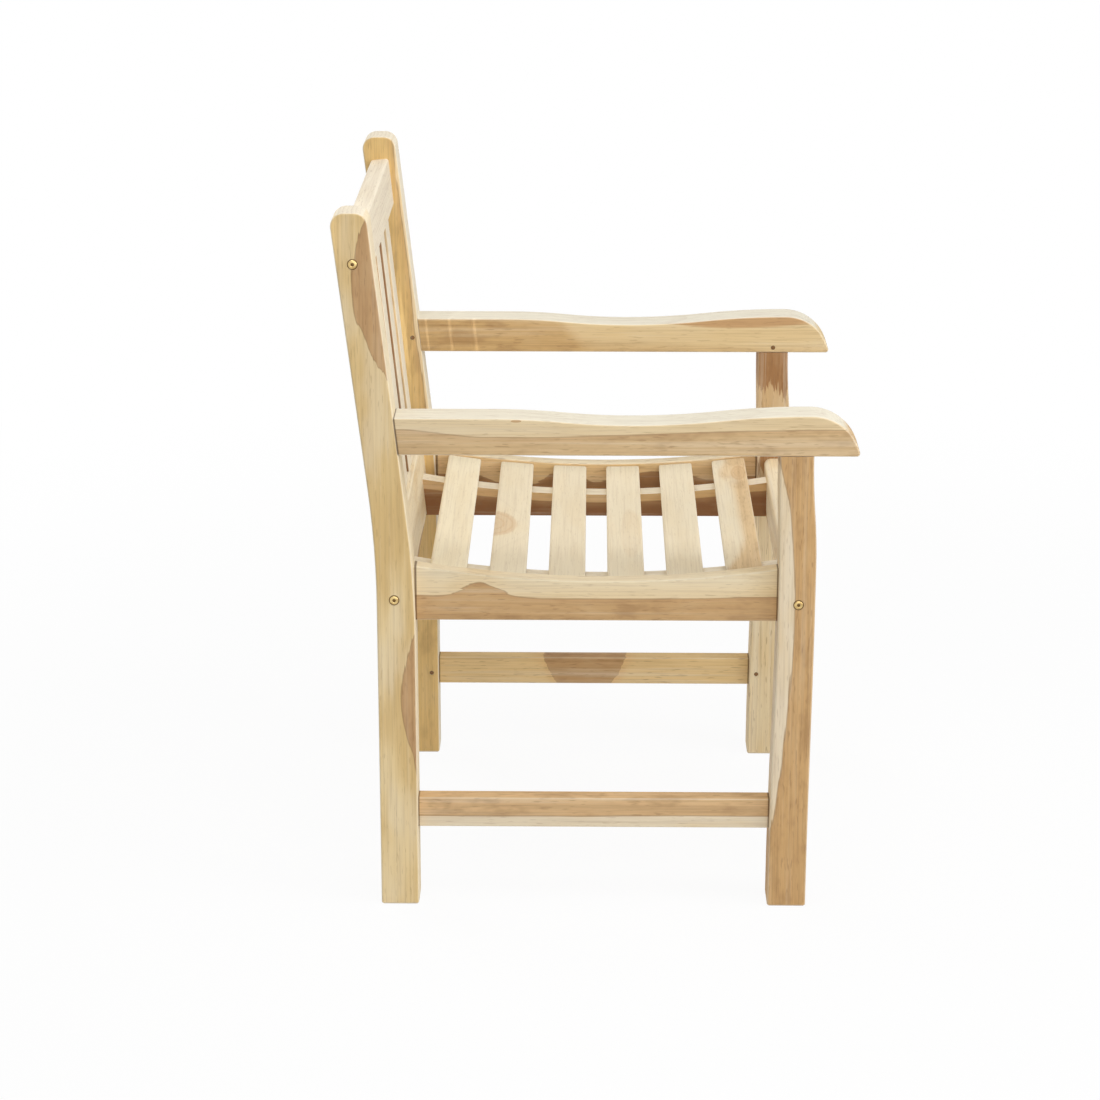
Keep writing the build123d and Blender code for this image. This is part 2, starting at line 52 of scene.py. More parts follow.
class Wire:
    """One output of a node, so that shader maths can be written as plain expressions."""

    def __init__(self, tree, socket):
        self.tree = tree
        self.socket = socket

    @staticmethod
    def add(tree, kind, settings=None, inputs=None, output=0):
        """Adds a node, with its settings first and then its sockets, and returns one of its outputs."""
        node = tree.nodes.new(kind)
        settings = dict(settings or {})
        stops = settings.pop("stops", ())
        for key, value in settings.items():
            setattr(node, key, value)
        if stops:
            ramp = node.color_ramp
            ramp.interpolation = "CARDINAL"
            while len(ramp.elements) < len(stops):
                ramp.elements.new(0.5)
            for element, (position, grey) in zip(ramp.elements, stops):
                element.position = position
                element.color = (grey, grey, grey, 1.0)
        for key, value in (inputs or {}).items():
            if isinstance(value, Wire):
                tree.links.new(value.socket, node.inputs[key])
            elif isinstance(value, list):
                for wire in value:
                    tree.links.new(wire.socket, node.inputs[key])
            else:
                node.inputs[key].default_value = value
        return Wire(tree, node.outputs[output])

    def also(self, output):
        """Another output of the same node."""
        return Wire(self.tree, self.socket.node.outputs[output])

    def maths(self, operation, first, second=0.0):
        return Wire.add(self.tree, "ShaderNodeMath", {"operation": operation}, {0: first, 1: second})

    def __add__(self, other):
        return self.maths("ADD", self, other)

    __radd__ = __add__

    def __mul__(self, other):
        return self.maths("MULTIPLY", self, other)

    __rmul__ = __mul__

    def __sub__(self, other):
        return self.maths("SUBTRACT", self, other)

    def __rsub__(self, other):
        return self.maths("SUBTRACT", other, self)

    def __truediv__(self, other):
        return self.maths("DIVIDE", self, other)

    def __pow__(self, other):
        return self.maths("POWER", self, other)

    def __abs__(self):
        return self.maths("ABSOLUTE", self)

    def fraction(self):
        return self.maths("FRACT", self)

    def root(self):
        return self.maths("SQRT", self)

    def larger(self, other):
        return self.maths("MAXIMUM", self, other)

    def rise(self, low, high):
        """Goes smoothly from 0 at low to 1 at high."""
        settings = {"interpolation_type": "SMOOTHSTEP"}
        inputs = {"Value": self, "From Min": low, "From Max": high}
        return Wire.add(self.tree, "ShaderNodeMapRange", settings, inputs)

    def curve(self, points):
        """A smooth curve through a few points (place, value)."""
        places = [place for place, _ in points]
        values = [value for _, value in points]
        low, high = min(values), max(values)
        reach = max(high - low, 1e-6)
        length = places[-1] - places[0]
        stops = [((place - places[0]) / length, (value - low) / reach) for place, value in points]
        along = (self - places[0]) / length
        return Wire.add(self.tree, "ShaderNodeValToRGB", {"stops": stops}, {"Fac": along}) * reach + low

    def split(self):
        """The three parts of a vector."""
        first = Wire.add(self.tree, "ShaderNodeSeparateXYZ", None, {"Vector": self})
        return first, first.also(1), first.also(2)

    def scaled(self, sizes):
        """A vector times three numbers."""
        return Wire.add(self.tree, "ShaderNodeVectorMath", {"operation": "MULTIPLY"}, {0: self, 1: sizes})

    def noise(self, sizes, seed, detail=2.0, roughness=0.5):
        """Soft noise from 0 to 1. The sizes are how often it changes per metre along each axis."""
        inputs = {
            "Vector": self.scaled(sizes),
            "W": seed,
            "Scale": 1.0,
            "Detail": detail,
            "Roughness": roughness,
        }
        return Wire.add(self.tree, "ShaderNodeTexNoise", {"noise_dimensions": "4D"}, inputs)

    def between(self, first, second):
        """The first colour where this is 0, going over to the second where it is 1."""
        inputs = {"Factor": self, 6: first, 7: second}
        return Wire.add(self.tree, "ShaderNodeMix", {"data_type": "RGBA"}, inputs, output=2)

    def tinted(self, other, amount):
        """This colour, mixed with another one where the amount is high."""
        return amount.between(self, other)


def paint(red, green, blue):
    """A colour given as it looks on a screen, 0 to 255, made linear for the shader."""
    def linear(value):
        value /= 255
        return value / 12.92 if value <= 0.04045 else ((value + 0.055) / 1.055) ** 2.4
    return (linear(red), linear(green), linear(blue), 1.0)


def new_surface(name):
    """A new material: its tree, its shader node and the place on the piece in metres."""
    material = bpy.data.materials.new(name)
    material.use_nodes = True
    tree = material.node_tree
    place = Wire.add(tree, "ShaderNodeTexCoord", output="Object")
    return material, tree, tree.nodes["Principled BSDF"], place


def dress(tree, shader, colour, roughness, height, strength, depth):
    """Feeds a shader its colour and roughness, and a bump of that height. The depth is in metres."""
    relief = {"Strength": strength, "Distance": depth, "Height": height}
    bump = Wire.add(tree, "ShaderNodeBump", None, relief)
    for socket, wire in (("Base Color", colour), ("Roughness", roughness), ("Normal", bump)):
        tree.links.new(wire.socket, shader.inputs[socket])


white_sapwood = paint(240, 230, 208)
cream_sapwood = paint(239, 223, 190)
buff_sapwood = paint(234, 211, 169)
straw_wood = paint(237, 212, 161)
golden_wood = paint(220, 189, 131)
amber_wood = paint(229, 194, 129)
brown_heartwood = paint(199, 160, 114)
honey_wood = paint(226, 197, 142)
vessel_brown = paint(142, 104, 66)
joint_shadow = paint(86, 60, 38)

# The metres from ring to ring, and the blur from which the heartwood's edge has no dark rim
ring_width = 0.0052
crisp_blur = 0.005


def teak(name, grain, pith, heart, pale, sap, core, seed, ragged=0.012, wander=0.006, blur=0.0016,
         rounded="X", clouded=0.4, figure=0.7, faced=None, turning=None, knot=None, joints=()):
    """Unfinished teak. The fibres run along the grain axis, and the growth rings lie round the pith.

    heart gives how far the heartwood reaches from the pith, as points (place along the grain, radius).
    The core colour lies inside it, the sap colour just outside, and the pale one further out.
    ragged is how far the heartwood's edge splinters along the grain, wander how far the rings stray
    from round, and blur how softly the heartwood ends.
    faced gives the sapwood colour of faces that look along an axis, as on a board sawn beside the bark.
    turning is (low, high, colour): from low to high along the grain the sapwood turns to that colour.
    rounded is an axis across the sanded edges that are rounded over.
    clouded is how much of golden and cream patches the sapwood has, and figure how strongly rings,
    streaks, fibres, vessels and the heartwood's mottle show.
    knot is (centre, size, darkness). joints are (place along the grain, lean) where another board is met.
    """
    material, tree, shader, place = new_surface(name)
    axes = dict(zip("XYZ", place.split()))
    along = axes.pop(grain)
    first, second = axes.values()
    normal = Wire.add(tree, "ShaderNodeTexCoord", output="Normal")
    facing = dict(zip("XYZ", normal.split()))

    def stretched(across, lengthways):
        return tuple(lengthways if axis == grain else across for axis in "XYZ")

    # The log: rings round the pith, drawn out of round by slow noise and by the knot
    slow = place.noise(stretched(9.0, 2.5), seed, 1.0)
    fibre = place.noise(stretched(420.0, 9.0), seed + 3.1, 3.0, 0.6)
    off_first = first - pith[0]
    off_second = second - pith[1]
    radius = (off_first * off_first + off_second * off_second).root() + (slow - 0.5) * (2.0 * wander)
    if knot:
        centre, size, darkness = knot
        offset = Wire.add(tree, "ShaderNodeVectorMath", {"operation": "SUBTRACT"}, {0: place, 1: centre})
        offset = offset.scaled(tuple(1.0 / part for part in size))
        distance = Wire.add(tree, "ShaderNodeVectorMath", {"operation": "LENGTH"},
                            {0: offset}, output="Value")
        distance = distance + (slow - 0.5) * 0.5 + (fibre - 0.5) * 0.2
        filling = (1.0 - distance.rise(0.86, 1.06)) * (darkness * 0.75)
        outline = (1.0 - abs(distance - 0.97).rise(0.02, 0.10)) * darkness * 0.35
        inner_rings = 1.0 - abs((distance * 3.0).fraction() - 0.5).rise(0.0, 0.25)
        eye = filling + outline
        eye = eye + inner_rings * eye * 0.5
        bulge = 0.010
        radius = radius + (1.0 - distance.rise(0.4, 2.4)) * bulge

    # Heartwood inside, sapwood outside, with a splintery edge along the fibres
    streaks = place.noise(stretched(95.0, 2.2), seed + 5.3, 4.0, 0.62)
    torn = along + (streaks - 0.5) * (2.0 * ragged) + (fibre - 0.5) * ragged
    outwards = radius - torn.curve(heart) + (fibre - 0.5) * 0.004
    inside = 1.0 - outwards.rise(-blur, blur)
    faces = []
    for axis, tone in (faced or {}).items():
        squarely = (facing[axis] * facing[axis]).rise(0.35, 0.65)
        inside = inside * (1.0 - squarely)
        faces.append((tone, squarely))

    # One dark line of late wood to a ring, each ring of its own strength
    ring_count = radius / ring_width + (fibre - 0.5) * 0.3
    late_wood = ring_count.fraction() ** 3.0
    ring_strength = Wire.add(tree, "ShaderNodeTexNoise", {"noise_dimensions": "1D"},
                             {"W": radius * 140.0 + seed * 7.0, "Scale": 1.0, "Detail": 1.0})
    rings = late_wood * ring_strength.rise(0.35, 0.75)

    # Clouds drawn out along the fibres, a mottle in the heartwood, and open vessels as short dark dashes
    clouds = place.noise(stretched(26.0, 7.5), seed + 6.1, 2.0)
    mottle = place.noise(stretched(48.0, 17.0), seed + 9.3, 3.0, 0.6)
    vessels = place.noise(stretched(560.0, 62.0), seed + 8.7, 1.0).rise(0.60, 0.72)

    # Sawn ends, and edges that are sanded round
    end_grain = abs(facing[grain]).rise(0.75, 0.95)
    slope = facing[rounded] * facing[rounded]
    edge = (slope * (1.0 - slope) * 4.0).rise(0.25, 0.95) * (1.0 - end_grain)

    # The colour of the sapwood, then of the heartwood in it
    colour = outwards.rise(0.004, 0.030).between(sap, pale)
    if turning:
        low, high, tone = turning
        colour = colour.tinted(tone, along.rise(low, high))
    golden_patches = clouds.rise(0.46, 0.66) * clouded
    cream_patches = (1.0 - clouds.rise(0.34, 0.52)) * (clouded * 0.45)
    colour = colour.tinted(golden_wood, golden_patches)
    colour = colour.tinted(cream_sapwood, cream_patches)
    dark_mottle = mottle.rise(0.47, 0.68) * inside * (0.15 + figure * 0.36)
    light_mottle = (1.0 - mottle.rise(0.30, 0.50)) * inside * 0.12
    colour = colour.tinted(core, inside)
    colour = colour.tinted(vessel_brown, dark_mottle)
    colour = colour.tinted(buff_sapwood, light_mottle)
    if blur < crisp_blur:
        border = inside * outwards.rise(-0.010, -0.001)
        rim = (1.0 - abs(outwards).rise(0.0002, 0.0003 + blur * 0.6)) * inside.rise(0.0, 0.2)
        colour = colour.tinted(brown_heartwood, border * 0.30)
        colour = colour.tinted(vessel_brown, rim * 0.45)
    if knot:
        colour = colour.tinted(brown_heartwood, eye)
    for tone, squarely in faces:
        colour = colour.tinted(tone, squarely)

    # The figure over both, the pale edges, the darker ends and the shadow in the joints
    pale_streaks = streaks.rise(0.50, 0.70) * (0.30 * figure)
    dark_streaks = (1.0 - streaks.rise(0.32, 0.50)) * (0.13 + inside * 0.20) * figure
    ring_lines = rings * (0.17 + inside * 0.14) * figure
    fibre_lines = (1.0 - fibre.rise(0.30, 0.56)) * (0.10 + figure * 0.13 + inside * 0.08)
    vessel_dashes = vessels * (figure * 0.34 + inside * 0.14)
    colour = colour.tinted(white_sapwood, pale_streaks)
    for marks in (dark_streaks, ring_lines, fibre_lines, vessel_dashes):
        colour = colour.tinted(vessel_brown, marks)
    # The rounded edges are painted lighter: partly sanded wood, partly a painted highlight
    colour = colour.tinted(white_sapwood, edge * 0.30)
    colour = colour.tinted(vessel_brown, end_grain * (0.06 + late_wood * 0.14))
    for meeting, lean in joints:
        gap = abs(along - second * lean - meeting)
        colour = colour.tinted(joint_shadow, (1.0 - gap.rise(0.0006, 0.0022)) * 0.8)

    roughness = 0.62 + fibre * 0.12 + end_grain * 0.1 - edge * 0.08
    height = fibre * 0.6 + streaks * 0.3 - vessels * 0.5 - rings * 0.25
    dress(tree, shader, colour, roughness, height, strength=0.35, depth=0.0004)
    shader.inputs["Specular IOR Level"].default_value = 0.3
    return material


def finish_with(material, name):
    """Gives a CAD node its material and the slot that it takes its finish from."""
    mesh = nodes[name].data
    mesh.materials.clear()
    mesh.materials.append(material)


# How far the middle of each side frame lies from the chair's middle
frame_x = 0.272
right_back_heart = (
    (0.05, 0.112), (0.205, 0.133), (0.279, 0.147), (0.361, 0.131), (0.45, 0.11), (0.60, 0.11),
    (0.706, 0.162), (0.760, 0.190), (0.80, 0.198), (0.83, 0.1965), (0.871, 0.189), (0.90, 0.177),
)
left_back_heart = (
    (0.0, 0.185), (0.40, 0.18), (0.48, 0.167), (0.60, 0.153), (0.75, 0.136), (0.90, 0.119),
)
right_back_wood = teak("teak right back leg", "Z", (-frame_x, 0.10), right_back_heart,
                       pale=straw_wood, sap=golden_wood, core=brown_heartwood, seed=1.0,
                       clouded=1.0, figure=0.6, turning=(0.36, 0.50, honey_wood),
                       faced={"Y": cream_sapwood, "Z": white_sapwood})
left_back_wood = teak("teak left back leg", "Z", (frame_x, 0.40), left_back_heart,
                      pale=cream_sapwood, sap=buff_sapwood, core=amber_wood, seed=2.0,
                      figure=0.35, faced={"Y": white_sapwood, "Z": white_sapwood})
finish_with(right_back_wood, "right_back_leg")
finish_with(left_back_wood, "left_back_leg")


# Front legs
# Slightly bowed posts of teak, cut in one piece with the tenon that goes up into the arm.
# The right one has its sapwood along the rear edge, the left one a dark heart at its top and a dark band
# at seat height that is painted shade beside the seat rail.

grey_sapwood = paint(232, 216, 188)
sandy_wood = paint(230, 210, 170)
light_tan = paint(215, 184, 138)
dusky_tan = paint(206, 173, 127)
tan_heartwood = paint(207, 167, 114)
# Dark brown: the left front leg's heartwood, and also painted shade at that leg's seat height and on the
# left seat rail
dark_heart_and_shade = paint(162, 118, 75)
right_front_heart = (
    (0.0, 0.20), (0.105, 0.179), (0.174, 0.168), (0.228, 0.163), (0.361, 0.155),
    (0.453, 0.157), (0.543, 0.165), (0.595, 0.177),
)
# The left leg's heart reaches out at seat height as painted shade beside the seat rail, and again at the
# top as real heartwood
left_front_heart_and_shade = (
    (0.0, 0.11), (0.30, 0.11), (0.42, 0.16), (0.46, 0.17),
    (0.50, 0.12), (0.54, 0.13), (0.565, 0.21), (0.60, 0.22),
)
right_front_wood = teak("teak right front leg", "Z", (-frame_x, -0.40), right_front_heart,
                        pale=grey_sapwood, sap=grey_sapwood, core=tan_heartwood, seed=3.0)
left_front_wood = teak("teak left front leg", "Z", (frame_x, -0.40), left_front_heart_and_shade,
                       pale=sandy_wood, sap=sandy_wood, core=dark_heart_and_shade, seed=4.0,
                       ragged=0.055, figure=1.3, turning=(0.38, 0.50, dusky_tan))
finish_with(right_front_wood, "right_front_leg")
finish_with(left_front_wood, "left_front_leg")


# Arms
# Shaped teak boards with a dip, a crest and a drooping nose, tenoned into the back legs and over the
# front ones. Their tops are pale sapwood, and the tan heartwood shows along the sides.

arm_white = paint(231, 224, 205)
band_sapwood = paint(231, 209, 169)
side_sapwood = paint(225, 201, 156)
side_tan = paint(205, 171, 119)
arm_joints = [(0.1769, 0.1133)]
right_arm_heart = ((-0.32, 0.183), (-0.25, 0.184), (-0.065, 0.178), (0.144, 0.173), (0.24, 0.182))
left_arm_heart = ((-0.32, 0.15), (-0.10, 0.155), (0.02, 0.165), (0.07, 0.21), (0.24, 0.22))
right_arm_knot = ((-0.297, 0.0995, 0.6425), (0.005, 0.006, 0.0016), 1.2)
crest_heart = ((0.247, -0.19, 0.665), (0.10, 0.15, 0.0295), 1.3)
right_arm_wood = teak("teak right arm", "Y", (-frame_x, 0.45), right_arm_heart,
                      pale=band_sapwood, sap=band_sapwood, core=light_tan, seed=5.0,
                      ragged=0.006, clouded=0.2, faced={"Z": arm_white},
                      knot=right_arm_knot, joints=arm_joints)
left_arm_wood = teak("teak left arm", "Y", (frame_x, 0.45), left_arm_heart,
                     pale=side_sapwood, sap=side_sapwood, core=side_tan, seed=6.0,
                     ragged=0.004, blur=0.015, clouded=0.3, faced={"Z": arm_white}, knot=crest_heart)
finish_with(right_arm_wood, "right_arm")
finish_with(left_arm_wood, "left_arm")


# Seat rails
# The side rails of the seat, hollowed along their top edge and tenoned and pegged into the legs.
# The right one is pale sapwood above and reddish heartwood below. On the left one the dark brown below,
# with its scalloped upper edge, is painted shade, with the painted shadows of the seat slats.

red_tan = paint(203, 165, 116)
rail_tan = paint(226, 192, 142)
rail_joints = [(-0.2264, 0.0), (0.2262, 0.0)]
right_rail_heart = (
    (-0.223, 0.1635), (-0.073, 0.1615), (0.071, 0.161), (0.11, 0.166),
    (0.146, 0.181), (0.185, 0.166), (0.229, 0.164),
)
# Painted shadow: the scalloped line under which the left rail's inner face is painted dark, for the seat
# slats' shadows
left_rail_slat_shadow = (
    (-0.22, 0.165), (-0.155, 0.160), (-0.135, 0.166), (-0.078, 0.172), (-0.04, 0.164), (0.0, 0.156),
    (0.02, 0.163), (0.066, 0.168), (0.085, 0.153), (0.142, 0.156), (0.165, 0.165), (0.23, 0.168),
)
right_rail_wood = teak("teak right seat rail", "Y", (-frame_x, 0.25), right_rail_heart,
                       pale=cream_sapwood, sap=buff_sapwood, core=red_tan, seed=7.0,
                       wander=0.003, joints=rail_joints)
# The left rail's dark lower part is painted shade under the seat slats
left_rail_wood = teak("teak left seat rail", "Y", (frame_x, 0.25), left_rail_slat_shadow,
                      pale=rail_tan, sap=rail_tan, core=dark_heart_and_shade, seed=8.0,
                      wander=0.002, figure=1.2, faced={"Z": cream_sapwood}, joints=rail_joints)
finish_with(right_rail_wood, "right_seat_rail")
finish_with(left_rail_wood, "left_seat_rail")


# Stretchers
# Low side rails of teak between the legs, tenoned and pegged as the seat rails are.
# The right one is tan with a pale lower edge, the left one pale with a brown stretch in its middle.

stretcher_tan = paint(222, 186, 138)
stretcher_pale = paint(234, 203, 148)
stretcher_sapwood = paint(228, 191, 136)
stretcher_brown = paint(191, 153, 106)
stretcher_joints = [(-0.2213, 0.0), (0.2262, 0.0)]
right_stretcher_heart = ((-0.22, 0.181), (0.0, 0.182), (0.23, 0.183))
left_stretcher_heart = (
    (-0.22, 0.12), (-0.09, 0.12), (-0.0443, 0.158), (-0.0195, 0.199),
    (0.0555, 0.199), (0.0755, 0.158), (0.12, 0.12), (0.23, 0.12),
)
right_stretcher_wood = teak("teak right stretcher", "Y", (-frame_x, 0.30), right_stretcher_heart,
                            pale=cream_sapwood, sap=grey_sapwood, core=stretcher_tan, seed=9.0,
                            wander=0.002, joints=stretcher_joints)
left_stretcher_wood = teak("teak left stretcher", "Y", (frame_x, 0.30), left_stretcher_heart,
                           pale=stretcher_pale, sap=stretcher_sapwood, core=stretcher_brown, seed=10.0,
                           ragged=0.006, figure=1.1, joints=stretcher_joints)
finish_with(right_stretcher_wood, "right_stretcher")
finish_with(left_stretcher_wood, "left_stretcher")


# Seat bearers
# Inboard beams from the lower back rail to the front rail, which carry the slats on their hollow tops.
# Their tops are painted near white, a painted highlight for the light that falls between the slats. Their
# sides are dark heartwood, darkened further as painted shade under the slats, with a lighter band at the
# top.

bearer_x = 0.192
# Dark heartwood brown, darkened further as painted shade under the slats
bearer_brown_and_shade = paint(138, 94, 58)
bearer_heart = (
    (-0.25, 0.150), (-0.18, 0.142), (-0.12, 0.1355), (0.0, 0.1305),
    (0.12, 0.1355), (0.18, 0.142), (0.25, 0.150),
)
for side, side_x, bearer_seed in (("right", -bearer_x, 11.0), ("left", bearer_x, 12.0)):
    # Painted highlight: the faces that look up are made near white
    bearer_wood = teak(f"teak {side} seat bearer", "Y", (side_x, 0.27), bearer_heart,
                       pale=light_tan, sap=tan_heartwood, core=bearer_brown_and_shade, seed=bearer_seed,
                       wander=0.001, faced={"Z": white_sapwood})
    finish_with(bearer_wood, f"{side}_seat_bearer")


# Cross rails
# The front rail, the lower back rail and the top rail join the two side frames, bolted through the legs.
# All three are pale sapwood boards with eased edges, the top one the palest.

top_sapwood = paint(239, 227, 204)
front_rail_heart = ((-0.25, 0.19), (0.0, 0.175), (0.25, 0.195))
lower_back_rail_heart = ((-0.25, 0.17), (0.0, 0.19), (0.25, 0.175))
top_rail_heart = ((-0.25, 0.235), (0.0, 0.245), (0.25, 0.23))
cross_rails = {
    "front_rail": ((-0.24, 0.20), front_rail_heart, cream_sapwood, 0.4, 13.0),
    "lower_back_rail": ((0.25, 0.20), lower_back_rail_heart, cream_sapwood, 0.4, 14.0),
    "top_rail": ((0.30, 0.55), top_rail_heart, top_sapwood, 0.1, 15.0),
}
for rail, (rail_pith, rail_heart, rail_pale, rail_clouds, rail_seed) in cross_rails.items():
    rail_wood = teak("teak " + rail.replace("_", " "), "X", rail_pith, rail_heart,
                     pale=rail_pale, sap=rail_pale, core=tan_heartwood, seed=rail_seed,
                     rounded="Z", clouded=rail_clouds)
    finish_with(rail_wood, rail)


# Seat slats
# Six thin boards across the seat, rounded along their edges and screwed from below to the bearers.
# They are nearly all sapwood; the front one has a flame of heartwood, and three have a knot.

slat_sapwood = paint(231, 218, 190)
# Painted light: the rear slat is made lighter to make up for the shade of the back over it
rear_slat_brightened = paint(243, 231, 202)
flame_tan = paint(219, 190, 146)
no_heart = ((-0.26, 0.05), (0.26, 0.05))
front_slat_heart = (
    (-0.26, 0.156), (-0.20, 0.143), (-0.13, 0.135), (0.10, 0.135),
    (0.15, 0.140), (0.185, 0.146), (0.26, 0.141),
)
slat_knots = {
    1: ((0.185, -0.197, 0.445), (0.034, 0.010, 0.02), 0.5),
    3: ((-0.06, -0.045, 0.437), (0.11, 0.013, 0.02), 0.12),
    5: ((-0.045, 0.138, 0.437), (0.058, 0.034, 0.03), 0.5),
}
for number in range(1, 7):
    low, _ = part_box(f"seat_slat_{number}")
    slat_pith = (-0.29, 0.35) if number == 1 else (low[1] - 0.01 + 0.006 * number, low[2] - 0.085)
    slat_heart = front_slat_heart if number == 1 else no_heart
    # The rear slat gets the lighter colour, painted light against the shade of the back
    slat_tone = rear_slat_brightened if number == 6 else slat_sapwood
    slat_wood = teak(f"teak seat slat {number}", "X", slat_pith, slat_heart,
                     pale=slat_tone, sap=slat_tone, core=flame_tan, seed=20.0 + number,
                     rounded="Z", blur=crisp_blur, clouded=0.12, figure=0.35, knot=slat_knots.get(number))
    finish_with(slat_wood, f"seat_slat_{number}")


# Back slats
# Five upright teak boards, thinner than the rails and housed in them at both ends.
# Their faces are pale sapwood, and their narrow sides are painted brown as shade in the narrow gaps
# between them, darkest on the fourth.

all_heart = ((-0.30, 0.5), (0.90, 0.5))
# Painted shade: the colour of the narrow sides, for the shade in the gaps between the slats
slat_side_shade = {4: paint(140, 102, 64), 5: light_tan}
for number in range(1, 6):
    low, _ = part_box(f"back_slat_{number}")
    slat_pith = (low[0] + 0.008 * number, low[1] - 0.10)
    side_shade_tone = slat_side_shade.get(number, brown_heartwood)
    slat_wood = teak(f"teak back slat {number}", "Z", slat_pith, all_heart,
                     pale=cream_sapwood, sap=cream_sapwood, core=side_shade_tone, seed=30.0 + number,
                     faced={"Y": white_sapwood})
    finish_with(slat_wood, f"back_slat_{number}")


# Pegs and dowels
# Turned teak rods: the pegs lock the tenons and show as small dark dots of end grain on the inner faces.
# The dowels beside the bolts keep the cross rails from turning.

def loose_boxes(name):
    """The lowest and highest corner of each separate solid in a CAD node."""
    work = bmesh.new()
    work.from_mesh(nodes[name].data)
    bmesh.ops.remove_doubles(work, verts=work.verts, dist=1e-6)
    waiting = set(work.verts)
    boxes = []
    while waiting:
        reached = [waiting.pop()]
        corners = []
        while reached:
            vertex = reached.pop()
            corners.append(vertex.co.copy())
            for edge in vertex.link_edges:
                neighbour = edge.other_vert(vertex)
                if neighbour in waiting:
                    waiting.remove(neighbour)
                    reached.append(neighbour)
        boxes.append((Vector(map(min, zip(*corners))), Vector(map(max, zip(*corners)))))
    work.free()
    return sorted(boxes, key=lambda box: [round(part, 5) for part in box[0]])


def sideways_places(boxes, head_outwards):
    """Where the head of each rod that lies across the chair ends, and the way that the head faces."""
    places = []
    for low, high in boxes:
        middle = (low + high) / 2
        side = math.copysign(1.0, middle.x)
        near, far = sorted((abs(low.x), abs(high.x)))
        if head_outwards:
            places.append(((side * far, middle.y, middle.z), (side, 0.0, 0.0)))
        else:
            places.append(((side * near, middle.y, middle.z), (-side, 0.0, 0.0)))
    return places


def fastener_tree(name, *sizes):
    """A geometry tree with a named input in metres for each size, and those inputs as wires."""
    tree = bpy.data.node_groups.new(name, "GeometryNodeTree")
    tree.interface.new_socket("Geometry", in_out="INPUT", socket_type="NodeSocketGeometry")
    for size in sizes:
        tree.interface.new_socket(size, in_out="INPUT", socket_type="NodeSocketFloat")
    tree.interface.new_socket("Geometry", in_out="OUTPUT", socket_type="NodeSocketGeometry")
    start = tree.nodes.new("NodeGroupInput")
    return tree, [Wire(tree, start.outputs[size]) for size in sizes]


def raised(tree, shape, height):
    """A shape moved up its own axis."""
    lift = Wire.add(tree, "ShaderNodeCombineXYZ", None, {"Z": height})
    return Wire.add(tree, "GeometryNodeTransform", None, {"Geometry": shape, "Translation": lift})


def rotated(tree, shape, turn):
    """A shape turned by three angles."""
    return Wire.add(tree, "GeometryNodeTransform", None, {"Geometry": shape, "Rotation": turn})


def turned(tree, stations, sides):
    """A closed turned shape round the Z axis, through (height, radius) stations from foot to top."""
    parts = []
    for (low, low_radius), (high, high_radius) in zip(stations, stations[1:]):
        sizes = {
            "Vertices": sides,
            "Radius Bottom": low_radius,
            "Radius Top": high_radius,
            "Depth": high - low,
        }
        wall = Wire.add(tree, "GeometryNodeMeshCone", {"fill_type": "NONE"}, sizes)
        parts.append(raised(tree, wall, low))
    for (height, radius), turn in ((stations[0], math.pi), (stations[-1], 0.0)):
        sizes = {"Vertices": sides, "Radius": radius}
        cap = Wire.add(tree, "GeometryNodeMeshCircle", {"fill_type": "NGON"}, sizes)
        parts.append(raised(tree, rotated(tree, cap, (turn, 0.0, 0.0)), height))
    joined = Wire.add(tree, "GeometryNodeJoinGeometry", None, {"Geometry": parts})
    return Wire.add(tree, "GeometryNodeMergeByDistance", None, {"Geometry": joined, "Distance": 1e-6})


def cut(tree, shape, tool):
    """A shape with another one cut out of it."""
    settings = {"operation": "DIFFERENCE", "solver": "EXACT"}
    return Wire.add(tree, "GeometryNodeMeshBoolean", settings, {"Mesh 1": shape, "Mesh 2": [tool]})


def threads(tree, foot, pitch, count, core, crest):
    """Thread ridges up a shank."""
    ridge_sides = 20
    ridge = turned(tree, ((0.0, core), (pitch * 0.5, crest), (pitch, core)), ridge_sides)
    start = Wire.add(tree, "ShaderNodeCombineXYZ", None, {"Z": foot})
    line = Wire.add(tree, "GeometryNodeMeshLine", {"mode": "OFFSET"},
                    {"Count": count, "Start Location": start, "Offset": (0.0, 0.0, pitch)})
    placed = Wire.add(tree, "GeometryNodeInstanceOnPoints", None, {"Points": line, "Instance": ridge})
    return Wire.add(tree, "GeometryNodeRealizeInstances", None, {"Geometry": placed})


